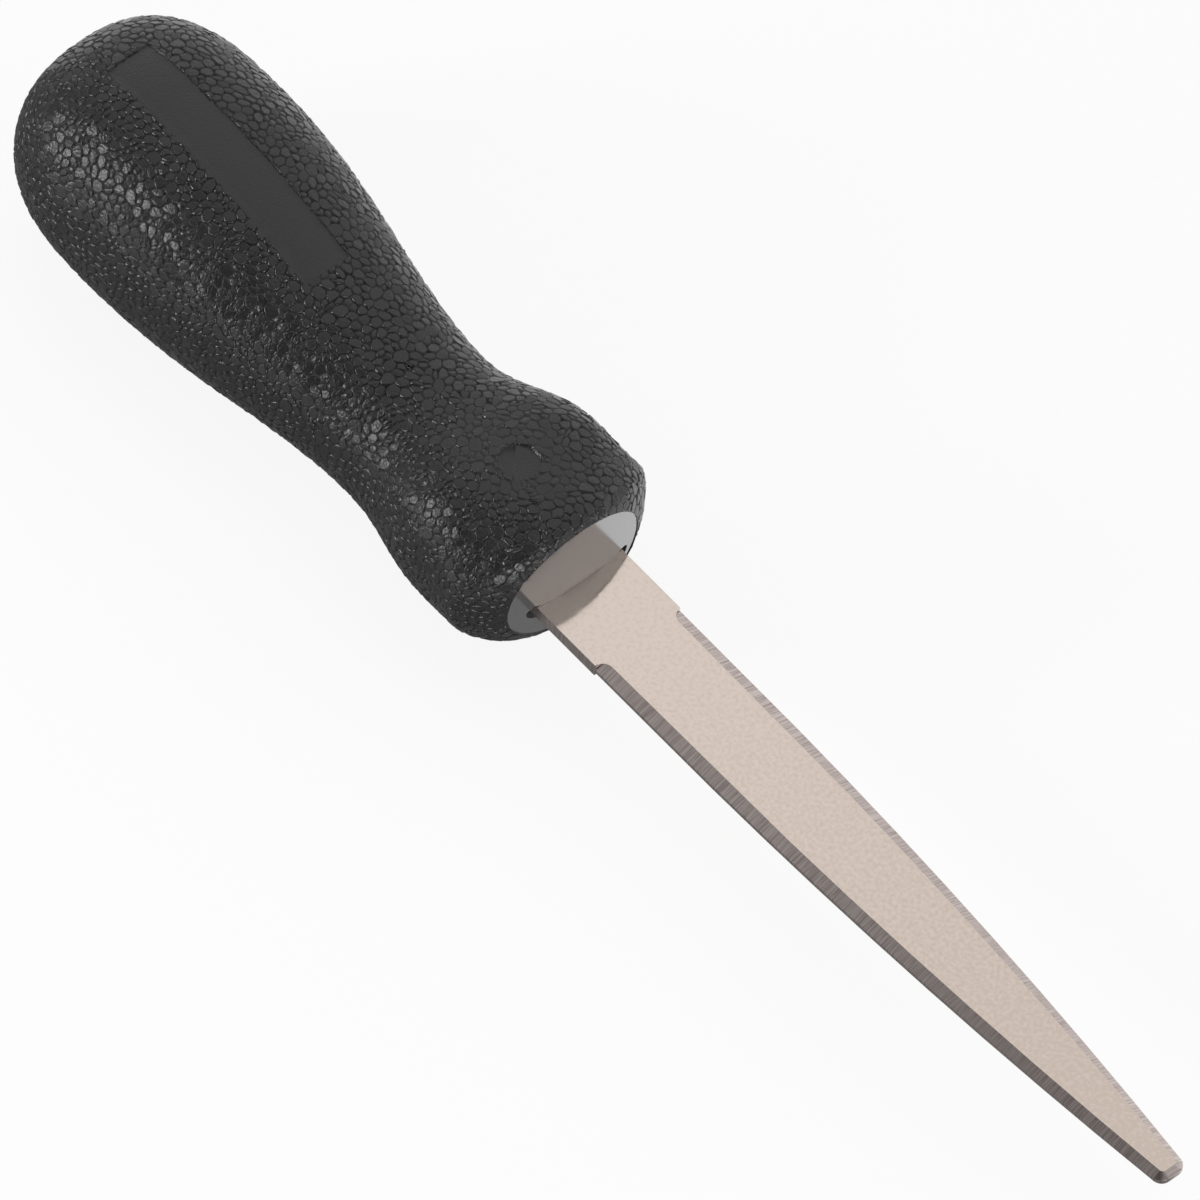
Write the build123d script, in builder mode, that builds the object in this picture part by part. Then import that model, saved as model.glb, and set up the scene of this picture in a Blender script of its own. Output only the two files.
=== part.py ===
from build123d import *
from math import atan2, cos, degrees, pi, sin
import os

# Oyster knife: a flat steel blade whose tang is moulded into a plastic grip.
# Frame: origin on the axis at the front of the grip, +X towards the tip, +Y across the blade,
# +Z square to the blade's flat side. Millimetres.

# Blade, from the front of the grip to the tip
blade_length = 101.6
blade_width = 12.7
blade_thickness = 1.9
parallel_length = 21.0
tip_width = 3.8
tip_corner_radius = 1.3

# Ground bevels, on both edges and both sides
plain_length = 9.7
bevel_width = 1.4
tip_bevel_width = 0.8
edge_land = 0.6

# Tang, inside the grip
tang_thickness = 2.0
tang_length = 64.0
tang_width = 9.4
tang_shoulder_length = 7.0
tang_corner_radius = 2.0
lock_hole_diameter = 4.6
lock_hole_shares = (0.36, 0.62, 0.88)

# Grip: distances are measured back from its front, along the blade's axis
grip_length = 89.0
bulb_distance = 69.5
bulb_width = 30.8
bulb_height = 28.6
neck_distance = 28.0
neck_width = 21.9
neck_height = 19.6
guard_distance = 12.5
guard_width = 26.8
guard_height = 20.8
wing_distance = 4.0
wing_width = 29.2

# How far each section's middle lies above the blade: the top dips under the thumb
bulb_rise = 0.7
neck_rise = -0.8
guard_rise = 1.0

# How square each section is: 2 is an ellipse, and more flattens its top and sides
bulb_squareness_share = 2.3
neck_squareness_share = 2.15
guard_squareness_share = 3.2
wing_squareness_share = 1.85
butt_roundness_share = 2.7
waist_skew_share = 1.15

# Front of the grip: flat in its middle, rounded away all round, with a smooth nose
front_flat_radius = 3.0
front_round_radius = 14.0
rim_radius = 1.8
nose_width = 19.4
nose_height = 17.2
front_depth = 10.0
corner_pocket_radius = 1.15
corner_pocket_depth = 2.6

# Smooth places that lie below the grained skin
skin_step = 0.3
plate_length = 35.0
plate_width = 6.6
plate_corner_radius = 0.5
plate_distance = 62.3
spot_diameter = 5.0
spot_distance = 11.7

# Rings of the grip's loft
ring_points = 24
butt_ring_shares = (0.94, 0.83, 0.7, 0.55, 0.38, 0.2)
waist_rings = 6
flare_rings = 4
wing_rings = 2
overrun = 2.0


def ease(share):
    """Rise smoothly from 0 to 1."""
    return (1 - cos(pi * share)) / 2


def blend(start, end, share):
    """Go from one list of values to another."""
    return [a + (b - a) * share for a, b in zip(start, end)]


def grip_section(distance):
    """Half width, half height, squareness and rise of the grip at a distance from its front."""
    bulb = (bulb_width / 2, bulb_height / 2, bulb_squareness_share, bulb_rise)
    neck = (neck_width / 2, neck_height / 2, neck_squareness_share, neck_rise)
    guard = (guard_width / 2, guard_height / 2, guard_squareness_share, guard_rise)
    wing = (wing_width / 2, guard_height / 2, wing_squareness_share, guard_rise)
    if distance > bulb_distance:
        share = (distance - bulb_distance) / (grip_length - bulb_distance)
        rounding = (1 - share**butt_roundness_share) ** (1 / butt_roundness_share)
        return bulb[0] * rounding, bulb[1] * rounding, bulb_squareness_share, bulb_rise
    if distance > neck_distance:
        share = (bulb_distance - distance) / (bulb_distance - neck_distance)
        return blend(bulb, neck, ease(share**waist_skew_share))
    if distance > guard_distance:
        return blend(neck, guard, ease((neck_distance - distance) / (neck_distance - guard_distance)))
    share = min(1, (guard_distance - distance) / (guard_distance - wing_distance))
    return blend(guard, wing, ease(share))


def grip_stations():
    """Distances of the grip's rings, from the butt to just past the front."""
    butt = [
        bulb_distance + (grip_length - bulb_distance) * sin(pi / 2 * share) ** (2 / butt_roundness_share)
        for share in butt_ring_shares
    ]
    marks = [
        (bulb_distance, neck_distance, waist_rings),
        (neck_distance, guard_distance, flare_rings),
        (guard_distance, wing_distance, wing_rings),
    ]
    rest = [start + (end - start) * n / rings for start, end, rings in marks for n in range(rings)]
    return butt + rest + [wing_distance, -overrun]


def signed_power(value, power):
    """A power that keeps the value's sign."""
    return abs(value) ** power * (1 if value >= 0 else -1)


def grip_form(inset):
    """The grip's plain outer form, drawn in by an even inset."""
    rings = [Vertex(inset - grip_length, 0, bulb_rise)]
    for distance in grip_stations():
        half_width, half_height, squareness, rise = grip_section(distance)
        power = 2 / squareness
        with BuildSketch(Plane((-distance, 0, rise), x_dir=(0, 1, 0), z_dir=(1, 0, 0))) as ring:
            with BuildLine():
                outline = [
                    (
                        (half_width - inset) * signed_power(cos(2 * pi * n / ring_points), power),
                        (half_height - inset) * signed_power(sin(2 * pi * n / ring_points), power),
                    )
                    for n in range(ring_points)
                ]
                Spline(*outline, periodic=True)
            make_face()
        rings.append(ring.sketch.face())
    with BuildPart() as form:
        loft(sections=rings)
    return form.part


def front_form(step):
    """The grip's front as a turned form, moved forward by a step."""
    back = step - front_round_radius
    with BuildPart() as form:
        with BuildSketch(Plane.XZ):
            with BuildLine():
                flat = Line((step, 0), (step, front_flat_radius))
                side = (back, front_flat_radius + front_round_radius)
                curve = TangentArc(flat @ 1, side, tangent=flat % 1)
                Polyline(curve @ 1, (back, 0), (step, 0))
            make_face()
        revolve(axis=Axis.X)
    return form.part.moved(Location((0, 0, guard_rise)))


def blade_outline(height, inset=0, tip_inset=0):
    """The blade's outline in plan at a height, drawn in from its edges and from its tip."""
    half_width = blade_width / 2 - inset
    end = blade_length - tip_inset
    tip_half_width = tip_width / 2 - tip_inset
    with BuildSketch(Plane.XY.offset(height)) as outline:
        with BuildLine():
            side = Line((0, half_width), (parallel_length, half_width))
            curve = TangentArc(side @ 1, (end, tip_half_width), tangent=side % 1)
            Line(curve @ 1, (end, 0))
            mirror(about=Plane.XZ)
            Line((0, half_width), (0, -half_width))
        make_face()
        fillet(outline.vertices().group_by(Axis.X)[-1], radius=tip_corner_radius - tip_inset)
    return outline.sketch


with BuildPart() as blade:
    # Ground length: a thin land at the edge, and bevels that rise from it to the flat
    extrude(blade_outline(0), amount=edge_land / 2)
    bevel_foot = blade_outline(edge_land / 2)
    flat = blade_outline(blade_thickness / 2, bevel_width, tip_bevel_width)
    loft(sections=[bevel_foot.face(), flat.face()], ruled=True)
    # Plain length by the grip, with the round run-outs that the wheel leaves
    run_out = plain_length + bevel_width
    with BuildSketch() as plain:
        add(blade_outline(0))
        with Locations((run_out, 0)):
            Rectangle(blade_length, blade_width + overrun, align=(Align.MIN, Align.CENTER), mode=Mode.SUBTRACT)
        with Locations((run_out, blade_width / 2), (run_out, -blade_width / 2)):
            Circle(bevel_width, mode=Mode.SUBTRACT)
    extrude(amount=blade_thickness / 2)
    # Tang, with shoulders behind the front of the grip and holes that the plastic fills
    with BuildSketch() as tang:
        Rectangle(tang_shoulder_length, blade_width, align=(Align.MAX, Align.CENTER))
        Rectangle(tang_length, tang_width, align=(Align.MAX, Align.CENTER))
        fillet(vertices().group_by(Axis.X)[0], radius=tang_corner_radius)
        with Locations(*[(-tang_length * share, 0) for share in lock_hole_shares]):
            Circle(lock_hole_diameter / 2, mode=Mode.SUBTRACT)
    extrude(amount=tang_thickness / 2)
    mirror(about=Plane.XY)
blade.part.label = "blade"

grip_skin = grip_form(0)
grip_core = grip_form(skin_step)

# Where the front is shaped from: a plane across the grip, level with the guard's middle
front_plane = Plane((-front_depth, 0, guard_rise), x_dir=(0, 1, 0), z_dir=(1, 0, 0))

# What lies in front of the grained skin
with BuildPart() as front_waste:
    with BuildSketch(front_plane):
        Rectangle(bulb_width, bulb_width)
    extrude(amount=front_depth + guard_distance)
    add(front_form(skin_step), mode=Mode.SUBTRACT)

# What lies in front of the smooth nose
with BuildPart() as nose_waste:
    with BuildSketch(front_plane):
        Ellipse(nose_width / 2, nose_height / 2)
    extrude(amount=front_depth + overrun)
    add(front_form(0), mode=Mode.SUBTRACT)

# Shallow recesses on the upper side: the bare plate and the round spot
with BuildPart() as recess_waste:
    with BuildSketch():
        with Locations((-plate_distance, 0)):
            RectangleRounded(plate_length, plate_width, plate_corner_radius)
        with Locations((-spot_distance, 0)):
            Circle(spot_diameter / 2)
    extrude(amount=bulb_height)
    add(grip_core, mode=Mode.SUBTRACT)

with BuildPart() as handle:
    add(grip_skin)
    add(front_waste.part, mode=Mode.SUBTRACT)
    front = handle.faces().filter_by(GeomType.REVOLUTION)
    fillet(front.edges().filter_by(GeomType.CIRCLE, reverse=True), radius=rim_radius)
    add(nose_waste.part, mode=Mode.SUBTRACT)
    add(recess_waste.part, mode=Mode.SUBTRACT)
    with BuildSketch(Plane.YZ.offset(-corner_pocket_depth)):
        with Locations((blade_width / 2, 0), (-blade_width / 2, 0)):
            Circle(corner_pocket_radius)
    extrude(amount=corner_pocket_depth + overrun, mode=Mode.SUBTRACT)
    add(blade.part, mode=Mode.SUBTRACT)
handle.part.label = "handle"

os.makedirs("parts", exist_ok=True)
export_step(blade.part, "parts/blade.step")
export_step(handle.part, "parts/handle.step")
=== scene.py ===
"""Oyster knife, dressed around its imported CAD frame.

Two pieces: a ground stainless blade, and the grained plastic grip that is moulded on its tang.
Blender units are metres in the CAD frame: origin at the front of the grip, +X to the tip.
"""

import logging
import math
import random
from dataclasses import dataclass, field
from enum import Enum
from typing import Any, ClassVar

import bmesh
import bpy
from mathutils import Euler, Matrix, Vector
from mathutils.bvhtree import BVHTree


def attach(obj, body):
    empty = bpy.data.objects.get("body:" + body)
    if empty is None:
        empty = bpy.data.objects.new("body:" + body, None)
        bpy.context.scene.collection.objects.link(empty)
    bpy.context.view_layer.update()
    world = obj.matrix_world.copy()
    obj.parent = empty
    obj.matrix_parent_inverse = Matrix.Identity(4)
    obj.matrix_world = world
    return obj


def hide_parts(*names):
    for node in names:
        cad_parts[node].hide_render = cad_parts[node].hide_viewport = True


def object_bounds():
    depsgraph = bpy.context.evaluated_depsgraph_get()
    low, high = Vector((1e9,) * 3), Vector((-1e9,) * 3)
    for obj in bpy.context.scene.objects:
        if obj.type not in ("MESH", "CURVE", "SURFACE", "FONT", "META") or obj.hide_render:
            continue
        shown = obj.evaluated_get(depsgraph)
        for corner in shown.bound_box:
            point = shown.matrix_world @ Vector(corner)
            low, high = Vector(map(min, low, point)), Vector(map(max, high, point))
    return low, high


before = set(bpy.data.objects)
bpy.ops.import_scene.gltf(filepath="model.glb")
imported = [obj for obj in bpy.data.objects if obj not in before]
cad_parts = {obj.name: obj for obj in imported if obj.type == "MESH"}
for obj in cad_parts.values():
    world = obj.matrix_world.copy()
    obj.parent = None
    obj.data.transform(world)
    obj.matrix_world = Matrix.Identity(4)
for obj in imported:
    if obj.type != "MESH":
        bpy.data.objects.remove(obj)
CAD_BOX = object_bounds()

MM = 0.001
SAME_PLACE = 0.001 * MM
LOG = logging.getLogger("oyster_knife")


class Skin(Enum):
    """The plastic's two skins, by their materials' names."""

    GRAINED = "polypropylene_grained"
    POLISHED = "polypropylene_polished"


def linear(hex_colour: str) -> tuple[float, float, float, float]:
    """Turn an sRGB hex colour to linear.

    Args:
        hex_colour: Six hex digits.

    Returns:
        Linear red, green, blue and an alpha of one.
    """
    shares = [int(hex_colour[start : start + 2], 16) / 255 for start in (0, 2, 4)]
    red, green, blue = (
        share / 12.92 if share <= 0.04045 else ((share + 0.055) / 1.055) ** 2.4 for share in shares
    )
    return (red, green, blue, 1.0)


def add_node(tree: bpy.types.NodeTree, kind: str, settings: dict[str, Any] | None = None,
             inputs: dict[Any, Any] | None = None) -> bpy.types.Node:
    """Add a node with its settings and links.

    A mix node's inputs need numbers: 2 and 3 take values, 4 and 5 vectors, and 6 and 7 colours.

    Args:
        tree: The tree that takes the node.
        kind: The node's Blender type.
        settings: Properties of the node.
        inputs: A value or an output socket for each input, by name or number.

    Returns:
        The new node.
    """
    node = tree.nodes.new(kind)
    for name, value in (settings or {}).items():
        setattr(node, name, value)
    for key, value in (inputs or {}).items():
        if isinstance(value, bpy.types.NodeSocket):
            tree.links.new(value, node.inputs[key])
        else:
            node.inputs[key].default_value = value
    return node


def grey(value: float) -> tuple[float, float, float, float]:
    """Make a colour whose channels hold one value."""
    return (value, value, value, 1.0)


def new_material(name: str) -> tuple[bpy.types.Material, bpy.types.NodeTree]:
    """Start a material with an empty node tree.

    Args:
        name: The material's name.

    Returns:
        The material and its tree.
    """
    material = bpy.data.materials.new(name)
    material.use_nodes = True
    material.node_tree.nodes.clear()
    return material, material.node_tree


def millimetre_coordinates(tree: bpy.types.NodeTree) -> bpy.types.NodeSocket:
    """Give the object's own coordinates in millimetres.

    Args:
        tree: The tree that takes the nodes.

    Returns:
        The coordinates' socket.
    """
    place = add_node(tree, "ShaderNodeTexCoord")
    scale = add_node(tree, "ShaderNodeVectorMath", {"operation": "SCALE"},
                     {0: place.outputs["Object"], "Scale": 1 / MM})
    return scale.outputs["Vector"]


def cad_copy(*nodes: str) -> bmesh.types.BMesh:
    """Copy CAD nodes into one mesh, with the loose triangles' corners merged.

    Args:
        nodes: Names of the CAD nodes.

    Returns:
        A new bmesh, which the caller frees.
    """
    copy = bmesh.new()
    for node in nodes:
        copy.from_mesh(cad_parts[node].data)
    bmesh.ops.remove_doubles(copy, verts=copy.verts, dist=SAME_PLACE)
    return copy


def as_object(mesh: bmesh.types.BMesh, name: str) -> bpy.types.Object:
    """Turn a bmesh into an object at the origin, and free it.

    Args:
        mesh: The finished bmesh.
        name: The object's name.

    Returns:
        The new object.
    """
    data = bpy.data.meshes.new(name)
    mesh.to_mesh(data)
    mesh.free()
    piece = bpy.data.objects.new(name, data)
    bpy.context.scene.collection.objects.link(piece)
    return piece


def apply_modifiers(piece: bpy.types.Object) -> None:
    """Put the result of a piece's modifiers into its mesh.

    Args:
        piece: The piece.
    """
    bpy.context.view_layer.update()
    shaped = piece.evaluated_get(bpy.context.evaluated_depsgraph_get())
    data = bpy.data.meshes.new_from_object(shaped)
    piece.modifiers.clear()
    piece.data = data


def shade_smooth(piece: bpy.types.Object, sharp_angle: float, flatness: int) -> None:
    """Shade a piece smooth, with its edges left sharp past an angle.

    Args:
        piece: The piece.
        sharp_angle: The least angle of a sharp edge, in radians.
        flatness: How much the large faces set the shading, from 1 to 100, with 50 for neutral.
    """
    piece.data.shade_smooth()
    piece.data.set_sharp_from_angle(angle=sharp_angle)
    weights = piece.modifiers.new("weights", "WEIGHTED_NORMAL")
    weights.mode = "FACE_AREA_WITH_ANGLE"
    weights.weight = flatness
    weights.keep_sharp = True
    apply_modifiers(piece)


@dataclass(frozen=True)
class GrainedPlastic:
    """Polypropylene, injection moulded against an etched tool.

    The grain's tops are satin and its grooves duller, with painted shade darkening the grooves and a
    painted highlight lightening the pebbles' shoulders, so the grip looks charcoal and not black. The
    tool is polished at the nose, which mirrors the blade and is painted paler as a sheen.
    """

    top_colour: str = "1D1C1E"
    # painted highlight: the shoulders are painted a little lighter than the tops, for the glints on them
    shoulder_highlight_colour: str = "232223"
    # painted shade: the grooves are painted near black, for the shade that falls in them
    groove_shade_colour: str = "020202"
    # painted sheen: the nose is painted paler than the grip's plastic, to brighten it
    nose_sheen_colour: str = "4A4A4B"
    top_roughness: float = 0.33
    shoulder_roughness: float = 0.22
    groove_roughness: float = 0.65
    nose_roughness: float = 0.16
    ior: float = 1.49
    coat_ior: float = 1.75  # of the nose's skin, which mirrors more than bare plastic
    fleck_size: float = 0.3  # mm, the fine unevenness of an etched tool
    fleck_detail: float = 2.0
    fleck_height: float = 0.09 * MM
    nose_facing: tuple[float, float, float] = (1.0, 0.0, 0.0)
    nose_levelling: float = 0.95  # how far the polish evens out the nose's reflections

    def material(self, skin: Skin) -> bpy.types.Material:
        """Make the material of one of the plastic's skins.

        Args:
            skin: The skin.

        Returns:
            The material.
        """
        material, tree = new_material(skin.value)
        shader = add_node(tree, "ShaderNodeBsdfPrincipled", None, {"IOR": self.ior})
        add_node(tree, "ShaderNodeOutputMaterial", None, {"Surface": shader.outputs["BSDF"]})
        if skin is Skin.POLISHED:
            self.polish(tree, shader)
        else:
            self.grain(tree, shader)
        return material

    def polish(self, tree: bpy.types.NodeTree, shader: bpy.types.Node) -> None:
        """Give a shader the nose's even gloss.

        Args:
            tree: The material's tree.
            shader: Its shader.
        """
        # Painted sheen: the nose's base colour is paler than the grip's plastic
        shader.inputs["Base Color"].default_value = linear(self.nose_sheen_colour)
        shader.inputs["Roughness"].default_value = self.nose_roughness
        shader.inputs["Coat Weight"].default_value = 1.0
        shader.inputs["Coat Roughness"].default_value = self.nose_roughness
        shader.inputs["Coat IOR"].default_value = self.coat_ior
        facing = add_node(tree, "ShaderNodeTexCoord")
        level = add_node(tree, "ShaderNodeMix", {"data_type": "VECTOR"},
                         {0: self.nose_levelling, 4: facing.outputs["Normal"], 5: self.nose_facing})
        normal = add_node(tree, "ShaderNodeVectorTransform",
                          {"vector_type": "NORMAL", "convert_from": "OBJECT", "convert_to": "WORLD"},
                          {"Vector": level.outputs[1]})
        for name in ("Normal", "Coat Normal"):
            tree.links.new(normal.outputs["Vector"], shader.inputs[name])

    def grain(self, tree: bpy.types.NodeTree, shader: bpy.types.Node) -> None:
        """Give a shader the grain's tops, shoulders and grooves, and the tool's fine unevenness.

        Args:
            tree: The material's tree.
            shader: Its shader.
        """
        groove = add_node(tree, "ShaderNodeAttribute", {"attribute_name": Grip.groove_layer})
        marks = (Grip.top_mark, Grip.shoulder_mark, Grip.groove_mark)
        # The grooves' near black is painted shade, and the shoulders' lighter colour a painted highlight
        colours = (self.top_colour, self.shoulder_highlight_colour, self.groove_shade_colour)
        roughnesses = (self.top_roughness, self.shoulder_roughness, self.groove_roughness)
        looks = {
            "Base Color": [linear(colour) for colour in colours],
            "Roughness": [grey(roughness) for roughness in roughnesses],
        }
        for name, stops in looks.items():
            ramp = add_node(tree, "ShaderNodeValToRGB", None, {"Fac": groove.outputs["Fac"]})
            ramp.color_ramp.elements.new(Grip.shoulder_mark)
            for element, mark, stop in zip(ramp.color_ramp.elements, marks, stops):
                element.position = mark
                element.color = stop
            tree.links.new(ramp.outputs["Color"], shader.inputs[name])
        flecks = add_node(tree, "ShaderNodeTexNoise", None,
                          {"Vector": millimetre_coordinates(tree), "Scale": 1 / self.fleck_size,
                           "Detail": self.fleck_detail})
        bump = add_node(tree, "ShaderNodeBump", None,
                        {"Strength": 1.0, "Distance": self.fleck_height, "Height": flecks.outputs["Fac"]})
        tree.links.new(bump.outputs["Normal"], shader.inputs["Normal"])


@dataclass(frozen=True)
class GroundStainless:
    """Stainless cutlery steel, surface ground on its flats and belt ground across its bevels.

    The flats are a soft, finely mottled mirror with a faint cloud, painted darker from the grip towards
    the tip as shade. The bevels scatter more, with scratches square to the edge, and their colour is
    painted darker as shade. The steel reads warm beside the neutral plastic.
    """

    # Flats, painted darker from the grip to the tip as shade
    root_lit_colour: str = "D6C8BE"
    tip_shaded_colour: str = "C6B8AD"
    flat_facing: tuple[float, float] = (0.94, 0.985)  # upward share of the normal, from bevel to flat
    flat_roughness: tuple[float, float] = (0.08, 0.13)
    cloud_size: float = 9.0  # mm
    cloud_detail: float = 3.0
    mottle_size: float = 0.5  # mm, coarser than a wheel's real marks, so that they show
    mottle_detail: float = 1.0
    mottle_height: float = 0.0025 * MM
    mottle_share: float = 0.4  # of the step between the two flat colours
    noise_range: tuple[float, float] = (0.3, 0.7)  # where the mottle's and the clouds' noise lies

    # Bevels
    # painted shade: the bevels are painted darker, for their dimmer reflections
    bevel_shaded_colour: str = "C4B9B5"
    bevel_roughness: float = 0.3
    scratch_colour: str = "9E928E"
    scratch_spacing: float = 0.1  # mm, coarser than a belt's real scratches, so that they show
    scratch_length: float = 4.0  # mm
    scratch_detail: float = 3.0
    scratch_height: float = 0.003 * MM
    scratch_range: tuple[float, float] = (0.42, 0.62)

    def flat_share(self, tree: bpy.types.NodeTree) -> bpy.types.NodeSocket:
        """Tell the flats from the bevels by how they face.

        Args:
            tree: The material's tree.

        Returns:
            One on the flats, and zero on the bevels.
        """
        facing = add_node(tree, "ShaderNodeTexCoord")
        part = add_node(tree, "ShaderNodeSeparateXYZ", None, {0: facing.outputs["Normal"]})
        upright = add_node(tree, "ShaderNodeMath", {"operation": "ABSOLUTE"}, {0: part.outputs["Z"]})
        flat = add_node(tree, "ShaderNodeMapRange", None,
                        {"Value": upright.outputs[0], "From Min": self.flat_facing[0],
                         "From Max": self.flat_facing[1]})
        return flat.outputs["Result"]

    def grind_flats(self, tree: bpy.types.NodeTree,
                    place: bpy.types.NodeSocket) -> tuple[bpy.types.NodeSocket, ...]:
        """Mottle the flats finely, cloud them, and paint them darker towards the tip as shade.

        Args:
            tree: The material's tree.
            place: Coordinates in millimetres.

        Returns:
            The flats' colour, roughness and height.
        """
        along = add_node(tree, "ShaderNodeSeparateXYZ", None, {0: place})
        # Painted shade: the flats' colour darkens from the grip towards the tip
        share = add_node(tree, "ShaderNodeMapRange", None,
                         {"Value": along.outputs["X"], "From Min": 0.0, "From Max": CAD_BOX[1][0] / MM})
        mottle = add_node(tree, "ShaderNodeTexNoise", None,
                          {"Vector": place, "Scale": 1 / self.mottle_size, "Detail": self.mottle_detail})
        mottled = add_node(tree, "ShaderNodeMapRange", None,
                           {"Value": mottle.outputs["Fac"], "From Min": self.noise_range[0],
                            "From Max": self.noise_range[1], "To Min": -self.mottle_share,
                            "To Max": self.mottle_share})
        shade = add_node(tree, "ShaderNodeMath", {"operation": "ADD"},
                         {0: share.outputs["Result"], 1: mottled.outputs["Result"]})
        colour = add_node(tree, "ShaderNodeMix", {"data_type": "RGBA"},
                          {0: shade.outputs[0], 6: linear(self.root_lit_colour), 7: linear(self.tip_shaded_colour)})
        clouds = add_node(tree, "ShaderNodeTexNoise", None,
                          {"Vector": place, "Scale": 1 / self.cloud_size, "Detail": self.cloud_detail})
        roughness = add_node(tree, "ShaderNodeMapRange", None,
                             {"Value": clouds.outputs["Fac"], "From Min": self.noise_range[0],
                              "From Max": self.noise_range[1], "To Min": self.flat_roughness[0],
                              "To Max": self.flat_roughness[1]})
        return colour.outputs[2], roughness.outputs["Result"], mottle.outputs["Fac"]

    def grind_bevels(self, tree: bpy.types.NodeTree,
                     place: bpy.types.NodeSocket) -> tuple[bpy.types.NodeSocket, ...]:
        """Scratch the bevels across.

        Args:
            tree: The material's tree.
            place: Coordinates in millimetres.

        Returns:
            The bevels' colour, painted darker as shade, and height.
        """
        scratch_scale = (1 / self.scratch_spacing, 1 / self.scratch_length, 1 / self.scratch_length)
        stretched = add_node(tree, "ShaderNodeMapping", None, {"Vector": place, "Scale": scratch_scale})
        scratches = add_node(tree, "ShaderNodeTexNoise", None,
                             {"Vector": stretched.outputs["Vector"], "Scale": 1.0,
                              "Detail": self.scratch_detail})
        share = add_node(tree, "ShaderNodeMapRange", None,
                         {"Value": scratches.outputs["Fac"], "From Min": self.scratch_range[0],
                          "From Max": self.scratch_range[1]})
        # Painted shade: the bevels' colour is darker than the flats' near the grip
        colour = add_node(tree, "ShaderNodeMix", {"data_type": "RGBA"},
                          {0: share.outputs["Result"], 6: linear(self.bevel_shaded_colour),
                           7: linear(self.scratch_colour)})
        return colour.outputs[2], scratches.outputs["Fac"]

    def material(self) -> bpy.types.Material:
        """Make the steel's material.

        Returns:
            The material.
        """
        material, tree = new_material("stainless_ground")
        place = millimetre_coordinates(tree)
        flat = self.flat_share(tree)
        flat_colour, flat_roughness, mottle = self.grind_flats(tree, place)
        bevel_shaded_colour, scratches = self.grind_bevels(tree, place)
        colour = add_node(tree, "ShaderNodeMix", {"data_type": "RGBA"},
                          {0: flat, 6: bevel_shaded_colour, 7: flat_colour})
        roughness = add_node(tree, "ShaderNodeMix", None,
                             {0: flat, 2: self.bevel_roughness, 3: flat_roughness})
        flat_bump = add_node(tree, "ShaderNodeBump", None,
                             {"Strength": 1.0, "Distance": self.mottle_height, "Height": mottle})
        on_bevel = add_node(tree, "ShaderNodeMath", {"operation": "SUBTRACT"}, {0: 1.0, 1: flat})
        bump = add_node(tree, "ShaderNodeBump", None,
                        {"Strength": on_bevel.outputs[0], "Distance": self.scratch_height,
                         "Height": scratches, "Normal": flat_bump.outputs["Normal"]})
        shader = add_node(tree, "ShaderNodeBsdfPrincipled", None,
                          {"Base Color": colour.outputs[2], "Metallic": 1.0,
                           "Roughness": roughness.outputs[0], "Normal": bump.outputs["Normal"]})
        add_node(tree, "ShaderNodeOutputMaterial", None, {"Surface": shader.outputs["BSDF"]})
        return material


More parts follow.
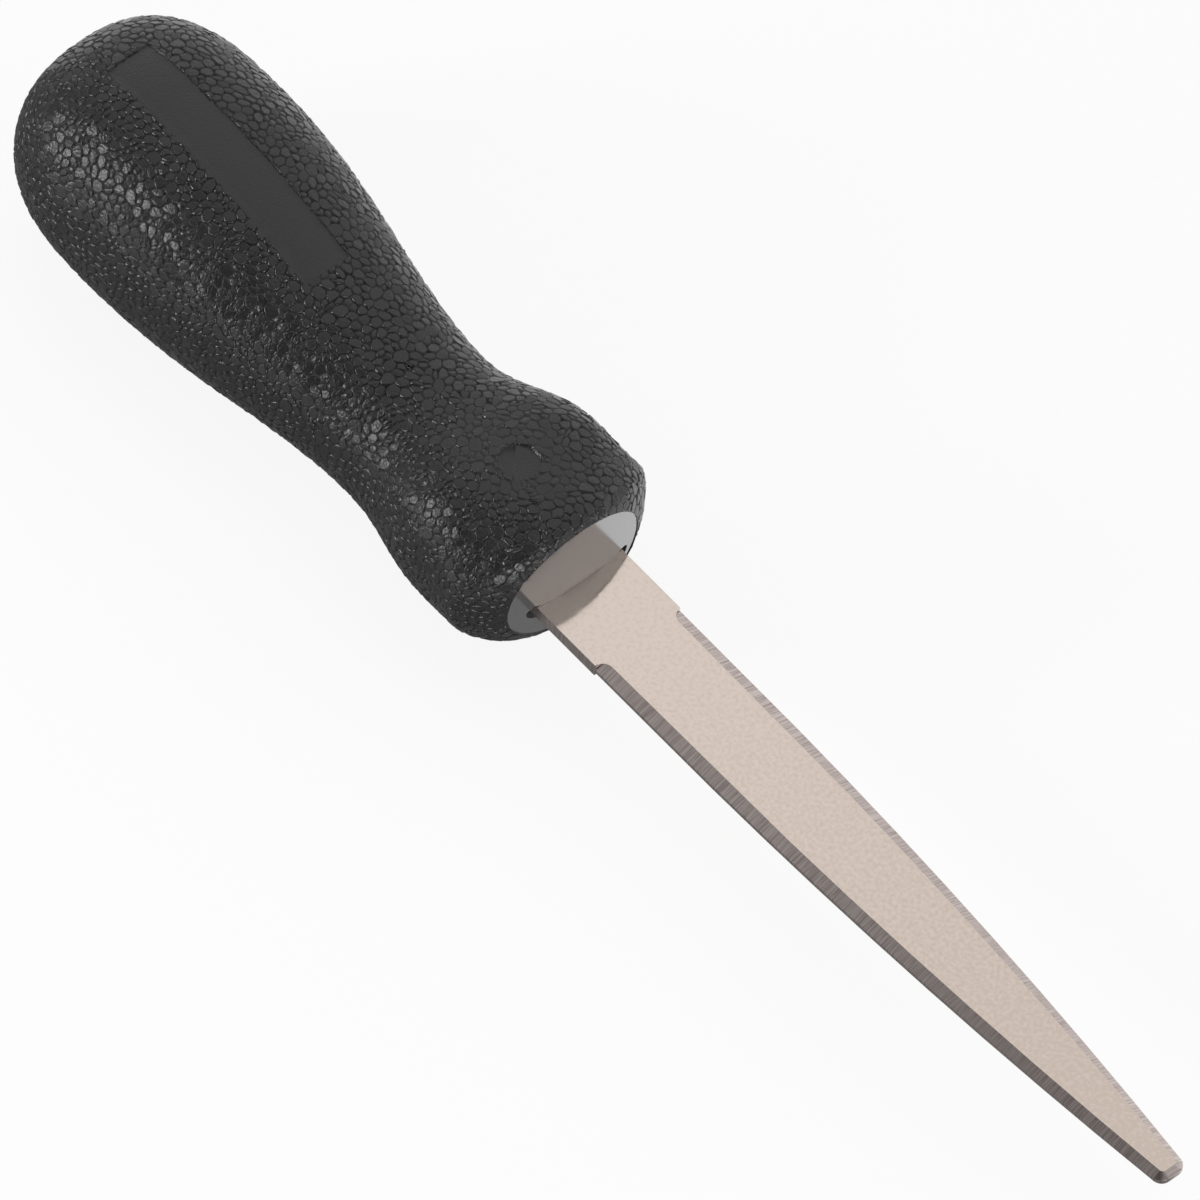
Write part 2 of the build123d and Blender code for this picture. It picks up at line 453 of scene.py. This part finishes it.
@dataclass
class Grip:
    """The moulded grip: the CAD solid with a pebbled skin cut into it."""

    node: str = "handle"
    blade_node: str = "blade"
    sharp_angle: float = math.radians(62)
    flatness: int = 60

    # Points, one for each pebble, with lengths as shares of the pitch
    pebble_pitch: float = 1.32 * MM
    voxel_share: float = 0.9
    voxel_turn: tuple[float, float, float] = (0.5, 0.6, 0.4)  # radians, askew to the grip's sides
    longest_share: float = 1.35
    shortest_share: float = 0.74
    scatter_share: float = 0.38
    relax_rounds: int = 6
    relax_factor: float = 0.5
    seed: int = 7

    # Pebble grain: a steep wall, a rounded shoulder and a top that leans a little its own way
    groove_depth: float = 0.34 * MM
    groove_scatter: float = 0.1 * MM
    wall_width: float = 0.09 * MM
    shoulder_depth: float = 0.07 * MM
    shoulder_width: float = 0.1 * MM
    top_sink: float = 0.06 * MM
    top_scatter: float = 0.02 * MM
    top_lean: float = 0.13
    corner_cut: float = 28.0  # percent of a cell's side
    cut_share: float = 0.2

    # Thumb rest, where the grain is shallow
    rest_middle: float = -13.0 * MM
    rest_size: tuple[float, float] = (20.0 * MM, 15.0 * MM)
    rest_share: float = 0.7
    rest_fade: float = 0.4

    # Smooth places that the grain skips, as in the CAD
    skin_step: float = 0.3 * MM
    recess_facing: float = 0.7  # least upward share of the normal of a recess's floor
    plate_middle: float = -62.3 * MM
    plate_size: tuple[float, float] = (35.0 * MM, 6.6 * MM)
    spot_middle: float = -11.7 * MM
    spot_diameter: float = 5.0 * MM
    nose_size: tuple[float, float] = (19.4 * MM, 17.2 * MM)
    nose_rise: float = 1.0 * MM
    nose_depth: float = 4.0 * MM
    nose_gap: float = 0.05 * MM  # how close to the front's form the polished faces lie
    edge_fade: float = 0.5 * MM
    front_flat_radius: float = 3.0 * MM
    front_round_radius: float = 14.0 * MM

    # How far down each ring of a pebble is, in the layer that the plastic reads
    groove_layer: ClassVar[str] = "groove"
    top_mark: ClassVar[float] = 0.0
    shoulder_mark: ClassVar[float] = 0.35
    groove_mark: ClassVar[float] = 1.0

    def in_plate_or_spot(self, place: Vector) -> bool:
        """Tell if a place lies over the bare plate or the round spot.

        Args:
            place: The place.

        Returns:
            True on the grip's upper side, over either of them.
        """
        if place.z < 0:
            return False
        length, width = self.plate_size
        on_plate = abs(place.x - self.plate_middle) < length / 2 and abs(place.y) < width / 2
        return on_plate or math.hypot(place.x - self.spot_middle, place.y) < self.spot_diameter / 2

    def on_front(self, place: Vector, step: float) -> Vector:
        """Bring a place along the axis to the front's form.

        Args:
            place: The place.
            step: How far the form lies in front of the nose's.

        Returns:
            The place on the form.
        """
        reach = math.hypot(place.y, place.z - self.nose_rise)
        bow = min(self.front_round_radius, max(0.0, reach - self.front_flat_radius))
        drop = self.front_round_radius - math.sqrt(self.front_round_radius**2 - bow**2)
        return Vector((step - drop, place.y, place.z))

    def nose_reach(self, place: Vector) -> float:
        """Tell how far a place lies outside the nose's edge.

        Args:
            place: The place.

        Returns:
            The distance, less than zero inside the edge, or the nose's depth for a place further back.
        """
        if place.x < -self.nose_depth:
            return self.nose_depth
        width, height = self.nose_size
        return (math.hypot(2 * place.y / width, 2 * (place.z - self.nose_rise) / height) - 1) * height / 2

    def in_nose(self, place: Vector) -> bool:
        """Tell if a place lies on the smooth nose."""
        return self.nose_reach(place) < 0

    def grain_share(self, place: Vector) -> float:
        """Tell how deep the grain is at a place.

        Args:
            place: The place.

        Returns:
            The depth as a share of the full depth.
        """
        edge = min(1.0, max(0.0, self.nose_reach(place) / self.edge_fade))
        if edge == 0 or self.in_plate_or_spot(place):
            return 0.0
        length, width = self.rest_size
        reach = math.hypot(2 * (place.x - self.rest_middle) / length, 2 * place.y / width)
        fade = min(1.0, max(0.0, (1 - reach) / self.rest_fade)) if place.z > 0 else 0.0
        return edge * (1 - (1 - self.rest_share) * fade)

    def plain_skin(self) -> BVHTree:
        """Make the skin as it would be with the plate and the spot filled up.

        Returns:
            The skin's faces, for finding the nearest place on them.
        """
        solid = cad_copy(self.node)
        solid.normal_update()
        floor = {
            corner for face in solid.faces for corner in face.verts
            if face.normal.z > self.recess_facing and self.in_plate_or_spot(face.calc_center_median())
        }
        bmesh.ops.translate(solid, vec=(0, 0, self.skin_step), verts=list(floor))
        skin = BVHTree.FromBMesh(solid)
        solid.free()
        return skin

    def settle(self, cells: bmesh.types.BMesh, skin: BVHTree) -> None:
        """Bring every corner to the plain skin, or in front of the nose to the front's form.

        Args:
            cells: The mesh to move.
            skin: The plain skin's faces.
        """
        for corner in cells.verts:
            if self.in_nose(corner.co):
                corner.co = self.on_front(corner.co, self.skin_step)
            else:
                corner.co = skin.find_nearest(corner.co)[0]

    def even_out(self, points: bmesh.types.BMesh) -> None:
        """Split the long sides between points and merge the ends of the short ones.

        Args:
            points: A closed mesh of triangles.
        """
        longest = self.longest_share * self.pebble_pitch
        shortest = self.shortest_share * self.pebble_pitch
        long_sides = [edge for edge in points.edges if edge.calc_length() > longest]
        bmesh.ops.subdivide_edges(points, edges=long_sides, cuts=1)
        bmesh.ops.triangulate(points, faces=points.faces)
        short_sides, taken = [], set()
        for edge in sorted(points.edges, key=lambda side: side.calc_length()):
            rings = [{side.other_vert(corner) for side in corner.link_edges} for corner in edge.verts]
            if edge.calc_length() > shortest:
                break
            # Ends with just two neighbours in common can merge without a fold
            if len(rings[0] & rings[1]) == 2 and taken.isdisjoint(rings[0] | rings[1]):
                short_sides.append(edge)
                taken |= rings[0] | rings[1]
        bmesh.ops.collapse(points, edges=short_sides)
        bmesh.ops.beautify_fill(points, faces=points.faces, edges=points.edges, method="ANGLE")

    def even_points(self, skin: BVHTree) -> bmesh.types.BMesh:
        """Spread points evenly over the skin, one for each pebble.

        Args:
            skin: The plain skin's faces.

        Returns:
            A closed mesh of triangles, with a pebble's middle at each corner.
        """
        turn = Euler(self.voxel_turn).to_matrix().to_4x4()
        whole = cad_copy(self.node, self.blade_node)
        bmesh.ops.transform(whole, matrix=turn, verts=whole.verts)
        block = as_object(whole, "grip_block")
        remesh = block.modifiers.new("voxels", "REMESH")
        remesh.mode = "VOXEL"
        remesh.voxel_size = self.pebble_pitch * self.voxel_share
        apply_modifiers(block)
        points = bmesh.new()
        points.from_mesh(block.data)
        bpy.data.objects.remove(block)
        bmesh.ops.transform(points, matrix=turn.inverted(), verts=points.verts)
        bmesh.ops.bisect_plane(points, geom=points.verts[:] + points.edges[:] + points.faces[:],
                               plane_co=(self.skin_step, 0, 0), plane_no=(1, 0, 0), clear_outer=True)
        bmesh.ops.holes_fill(points, edges=[edge for edge in points.edges if edge.is_boundary])
        bmesh.ops.triangulate(points, faces=points.faces)
        for _ in range(self.relax_rounds):
            self.even_out(points)
            bmesh.ops.smooth_vert(points, verts=points.verts, factor=self.relax_factor, use_axis_x=True,
                                  use_axis_y=True, use_axis_z=True)
            self.settle(points, skin)
        chance = random.Random(self.seed)
        reach = self.scatter_share * self.pebble_pitch
        for corner in points.verts:
            corner.co += Vector([chance.uniform(-reach, reach) for _ in range(3)])
        self.settle(points, skin)
        bmesh.ops.beautify_fill(points, faces=points.faces, edges=points.edges, method="ANGLE")
        return points

    def cells(self, points: bmesh.types.BMesh) -> bmesh.types.BMesh:
        """Turn each point into a cell whose walls lie between it and its neighbours.

        Args:
            points: A closed mesh of triangles.

        Returns:
            The dual mesh: a polygon for each point.
        """
        block = as_object(points, "grip_cells")
        group = bpy.data.node_groups.new("cells_round_points", "GeometryNodeTree")
        for side in ("INPUT", "OUTPUT"):
            group.interface.new_socket("Geometry", in_out=side, socket_type="NodeSocketGeometry")
        start = add_node(group, "NodeGroupInput")
        dual = add_node(group, "GeometryNodeDualMesh", None, {0: start.outputs[0]})
        add_node(group, "NodeGroupOutput", None, {0: dual.outputs[0]})
        block.modifiers.new("cells", "NODES").node_group = group
        apply_modifiers(block)
        cells = bmesh.new()
        cells.from_mesh(block.data)
        bpy.data.objects.remove(block)
        return cells

    def raise_pebbles(self, cells: bmesh.types.BMesh) -> None:
        """Round each cell's outline, inset its top and sink what lies round it.

        Args:
            cells: The dual mesh, on the skin.
        """
        chance = random.Random(self.seed)
        layer = cells.verts.layers.float.new(self.groove_layer)
        cut = [corner for corner in cells.verts if chance.random() < self.cut_share]
        bmesh.ops.bevel(cells, geom=cut, offset=self.corner_cut, offset_type="PERCENT",
                        affect="VERTICES", segments=1, profile=0.5, material=-1)
        # The cut corners leave triangles, which stay down in the grooves
        tops = [face for face in cells.faces if len(face.verts) > 3]
        bmesh.ops.inset_individual(cells, faces=tops, thickness=self.wall_width, use_even_offset=True)
        shoulders = [list(face.verts) for face in tops]
        bmesh.ops.inset_individual(cells, faces=tops, thickness=self.shoulder_width, use_even_offset=True)
        cells.normal_update()
        depths = {}
        for face, shoulder in zip(tops, shoulders):
            middle = face.calc_center_median()
            lean = Vector([chance.uniform(-self.top_lean, self.top_lean) for _ in range(3)])
            sink = self.top_sink + chance.uniform(0, self.top_scatter)
            for corner in face.verts:
                depths[corner] = sink + lean.dot(corner.co - middle)
            for corner in shoulder:
                depths[corner] = sink + self.shoulder_depth + lean.dot(corner.co - middle)
                corner[layer] = self.shoulder_mark
        sunk = []
        for corner in cells.verts:
            share = self.grain_share(corner.co)
            if corner not in depths:
                corner[layer] = self.groove_mark * share
            depth = depths.get(corner, self.groove_depth - chance.uniform(0, self.groove_scatter))
            depth = self.top_sink + (depth - self.top_sink) * share
            sunk.append(corner.co - corner.normal * max(0.0, depth))
        for corner, place in zip(cells.verts, sunk):
            corner.co = place

    def polish_nose(self, piece: bpy.types.Object) -> None:
        """Give the piece's second material to the faces that lie on the nose.

        Args:
            piece: The grip.
        """
        for face in piece.data.polygons:
            gap = (face.center - self.on_front(face.center, 0)).length
            if self.in_nose(face.center) and gap < self.nose_gap:
                face.material_index = 1

    def build(self, finish: GrainedPlastic) -> bpy.types.Object:
        """Make the grip.

        Args:
            finish: The plastic.

        Returns:
            The finished piece.
        """
        plain = self.plain_skin()
        points = self.even_points(plain)
        LOG.info("grip: %d points", len(points.verts))
        cells = self.cells(points)
        self.settle(cells, plain)
        self.raise_pebbles(cells)
        piece = as_object(cells, "grip_moulded")
        cutter = as_object(cad_copy(self.node), "grip_cad_solid")
        clip = piece.modifiers.new("clip", "BOOLEAN")
        clip.operation = "INTERSECT"
        clip.object = cutter
        clip.solver = "MANIFOLD"
        apply_modifiers(piece)
        bpy.data.objects.remove(cutter)
        piece.data.materials.clear()
        for skin in (Skin.GRAINED, Skin.POLISHED):
            piece.data.materials.append(finish.material(skin))
        self.polish_nose(piece)
        shade_smooth(piece, self.sharp_angle, self.flatness)
        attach(piece, "root")
        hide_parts(self.node)
        return piece


@dataclass
class Blade:
    """The ground blade: the CAD solid with its edges broken as the wheel leaves them."""

    node: str = "blade"
    flat_angle: float = math.radians(0.5)
    edge_angle: float = math.radians(16)
    edge_break: float = 0.05 * MM
    edge_segments: int = 2
    sharp_angle: float = math.radians(24)
    flatness: int = 90

    def build(self, finish: GroundStainless) -> bpy.types.Object:
        """Make the blade.

        Args:
            finish: The steel.

        Returns:
            The finished piece.
        """
        solid = cad_copy(self.node)
        bmesh.ops.dissolve_limit(solid, angle_limit=self.flat_angle, verts=solid.verts, edges=solid.edges)
        corners = [edge for edge in solid.edges if edge.calc_face_angle(0) > self.edge_angle]
        bmesh.ops.bevel(solid, geom=corners, offset=self.edge_break, offset_type="OFFSET", affect="EDGES",
                        segments=self.edge_segments, profile=0.5, material=-1, clamp_overlap=True)
        piece = as_object(solid, "blade_ground")
        piece.data.materials.append(finish.material())
        shade_smooth(piece, self.sharp_angle, self.flatness)
        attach(piece, "root")
        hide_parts(self.node)
        return piece


@dataclass(frozen=True)
class Lamp:
    """A square white lamp that faces the front of the grip, with its sizes in metres."""

    name: str
    towards: tuple[float, float, float]
    distance: float
    side: float
    watts: float

    def build(self) -> None:
        """Hang the lamp."""
        data = bpy.data.lights.new(self.name, "AREA")
        data.shape = "SQUARE"
        data.size = self.side
        data.energy = self.watts
        lamp = bpy.data.objects.new(self.name, data)
        direction = Vector(self.towards).normalized()
        lamp.location = direction * self.distance
        lamp.rotation_euler = direction.to_track_quat("Z", "Y").to_euler()
        bpy.context.scene.collection.objects.link(lamp)


@dataclass
class Studio:
    """The pale floor, the surroundings, the lamps and the camera."""

    # Floor; to glossy rays it glows, as painted shade in a dim band along the knife and brighter than
    # white on both sides
    floor_side: float = 3.0
    floor_gap: float = 0.02 * MM  # below the lowest place of the CAD
    floor_colour: str = "F2F2F2"
    floor_shadow_share: float = 0.12
    mirror_middle: float = -25.0 * MM
    mirror_range: tuple[float, float] = (27.0 * MM, 40.0 * MM)
    mirror_shade_and_glow: tuple[float, float] = (0.28, 1.3)

    # Surroundings, bright above and on the +Y side
    bright_side: tuple[float, float, float] = (-0.2, 0.75, 0.6)
    bright_range: tuple[float, float] = (0.0, 0.75)
    surroundings_strength: tuple[float, float] = (0.06, 1.0)

    # Camera, far off with a long lens, as the photograph shows hardly any perspective
    camera_azimuth: float = 43.6
    camera_elevation: float = 55.8
    camera_roll: float = 6.7
    camera_distance: float = 6.0
    camera_lens: float = 1600.0
    camera_aim: tuple[float, float, float] = (3.22 * MM, -0.02 * MM, 0.82 * MM)

    lamps: list[Lamp] = field(default_factory=lambda: [
        Lamp("lamp_left", towards=(-0.57, -0.74, 0.35), distance=0.8, side=0.22, watts=3.8),
        Lamp("lamp_front", towards=(0.95, -0.3, 0.12), distance=0.8, side=0.22, watts=3.4),
    ])

    def build_floor(self) -> None:
        """Lay the floor, which is white to the camera and still takes the knife's shadow, and which
        glossy rays see as painted shade beneath the knife and a painted glow beside it.
        """
        sheet = bmesh.new()
        bmesh.ops.create_grid(sheet, x_segments=1, y_segments=1, size=self.floor_side / 2)
        bmesh.ops.translate(sheet, vec=(0, 0, CAD_BOX[0][2] - self.floor_gap), verts=sheet.verts)
        floor = as_object(sheet, "floor")
        material, tree = new_material("floor_white")
        paper = add_node(tree, "ShaderNodeBsdfDiffuse", None, {"Color": linear(self.floor_colour)})
        white = add_node(tree, "ShaderNodeEmission", None, {"Color": (1, 1, 1, 1), "Strength": 1.0})
        ray = add_node(tree, "ShaderNodeLightPath")
        seen = add_node(tree, "ShaderNodeMath", {"operation": "MULTIPLY"},
                        {0: ray.outputs["Is Camera Ray"], 1: 1 - self.floor_shadow_share})
        mix = add_node(tree, "ShaderNodeMixShader", None,
                       {0: seen.outputs[0], 1: paper.outputs[0], 2: white.outputs[0]})
        # Painted shade and glow: glossy rays see the floor dim in a band beneath the knife, standing in
        # for its shadow, and brighter than white on both sides
        place = add_node(tree, "ShaderNodeTexCoord")
        part = add_node(tree, "ShaderNodeSeparateXYZ", None, {0: place.outputs["Object"]})
        aside = add_node(tree, "ShaderNodeMath", {"operation": "SUBTRACT"},
                         {0: part.outputs["Y"], 1: self.mirror_middle})
        gap = add_node(tree, "ShaderNodeMath", {"operation": "ABSOLUTE"}, {0: aside.outputs[0]})
        strength = add_node(tree, "ShaderNodeMapRange", {"interpolation_type": "SMOOTHSTEP"},
                            {"Value": gap.outputs[0], "From Min": self.mirror_range[0],
                             "From Max": self.mirror_range[1], "To Min": self.mirror_shade_and_glow[0],
                             "To Max": self.mirror_shade_and_glow[1]})
        glossy_floor_shade = add_node(tree, "ShaderNodeEmission", None,
                            {"Color": (1, 1, 1, 1), "Strength": strength.outputs["Result"]})
        surface = add_node(tree, "ShaderNodeMixShader", None,
                           {0: ray.outputs["Is Glossy Ray"], 1: mix.outputs[0], 2: glossy_floor_shade.outputs[0]})
        add_node(tree, "ShaderNodeOutputMaterial", None, {"Surface": surface.outputs[0]})
        floor.data.materials.append(material)

    def build_world(self) -> None:
        """Light the surroundings, which are white where the camera sees past the floor."""
        world = bpy.data.worlds.new("studio")
        world.use_nodes = True
        tree = world.node_tree
        tree.nodes.clear()
        direction = add_node(tree, "ShaderNodeTexCoord")
        side = add_node(tree, "ShaderNodeVectorMath", {"operation": "DOT_PRODUCT"},
                        {0: direction.outputs["Generated"], 1: Vector(self.bright_side).normalized()})
        light = add_node(tree, "ShaderNodeMapRange", {"interpolation_type": "SMOOTHSTEP"},
                         {"Value": side.outputs["Value"], "From Min": self.bright_range[0],
                          "From Max": self.bright_range[1], "To Min": self.surroundings_strength[0],
                          "To Max": self.surroundings_strength[1]})
        ray = add_node(tree, "ShaderNodeLightPath")
        strength = add_node(tree, "ShaderNodeMix", None,
                            {0: ray.outputs["Is Camera Ray"], 2: light.outputs["Result"], 3: 1.0})
        sky = add_node(tree, "ShaderNodeBackground", None,
                       {"Color": (1, 1, 1, 1), "Strength": strength.outputs[0]})
        add_node(tree, "ShaderNodeOutputWorld", None, {"Surface": sky.outputs[0]})
        bpy.context.scene.world = world

    def build_camera(self) -> None:
        """Set the camera at the photograph's viewing angle."""
        azimuth = math.radians(self.camera_azimuth)
        elevation = math.radians(self.camera_elevation)
        roll = math.radians(self.camera_roll)
        away = Vector((math.sin(azimuth) * math.cos(elevation), -math.cos(azimuth) * math.cos(elevation),
                       math.sin(elevation)))
        data = bpy.data.cameras.new("camera")
        data.lens = self.camera_lens
        camera = bpy.data.objects.new("camera", data)
        turn = away.to_track_quat("Z", "Y").to_matrix().to_4x4() @ Matrix.Rotation(roll, 4, "Z")
        place = Vector(self.camera_aim) + away * self.camera_distance
        camera.matrix_world = Matrix.Translation(place) @ turn
        bpy.context.scene.collection.objects.link(camera)
        bpy.context.scene.camera = camera

    def build(self) -> None:
        """Build the whole studio."""
        self.build_floor()
        self.build_world()
        for lamp in self.lamps:
            lamp.build()
        self.build_camera()
        bpy.context.scene.view_settings.view_transform = "Standard"


def main() -> None:
    """Build the knife and its studio."""
    logging.basicConfig(level=logging.INFO, format="%(name)s: %(message)s")
    for piece in (Grip().build(GrainedPlastic()), Blade().build(GroundStainless())):
        triangles = sum(len(face.vertices) - 2 for face in piece.data.polygons)
        LOG.info("%s: %d triangles", piece.name, triangles)
    Studio().build()


if __name__ == "__main__":
    main()
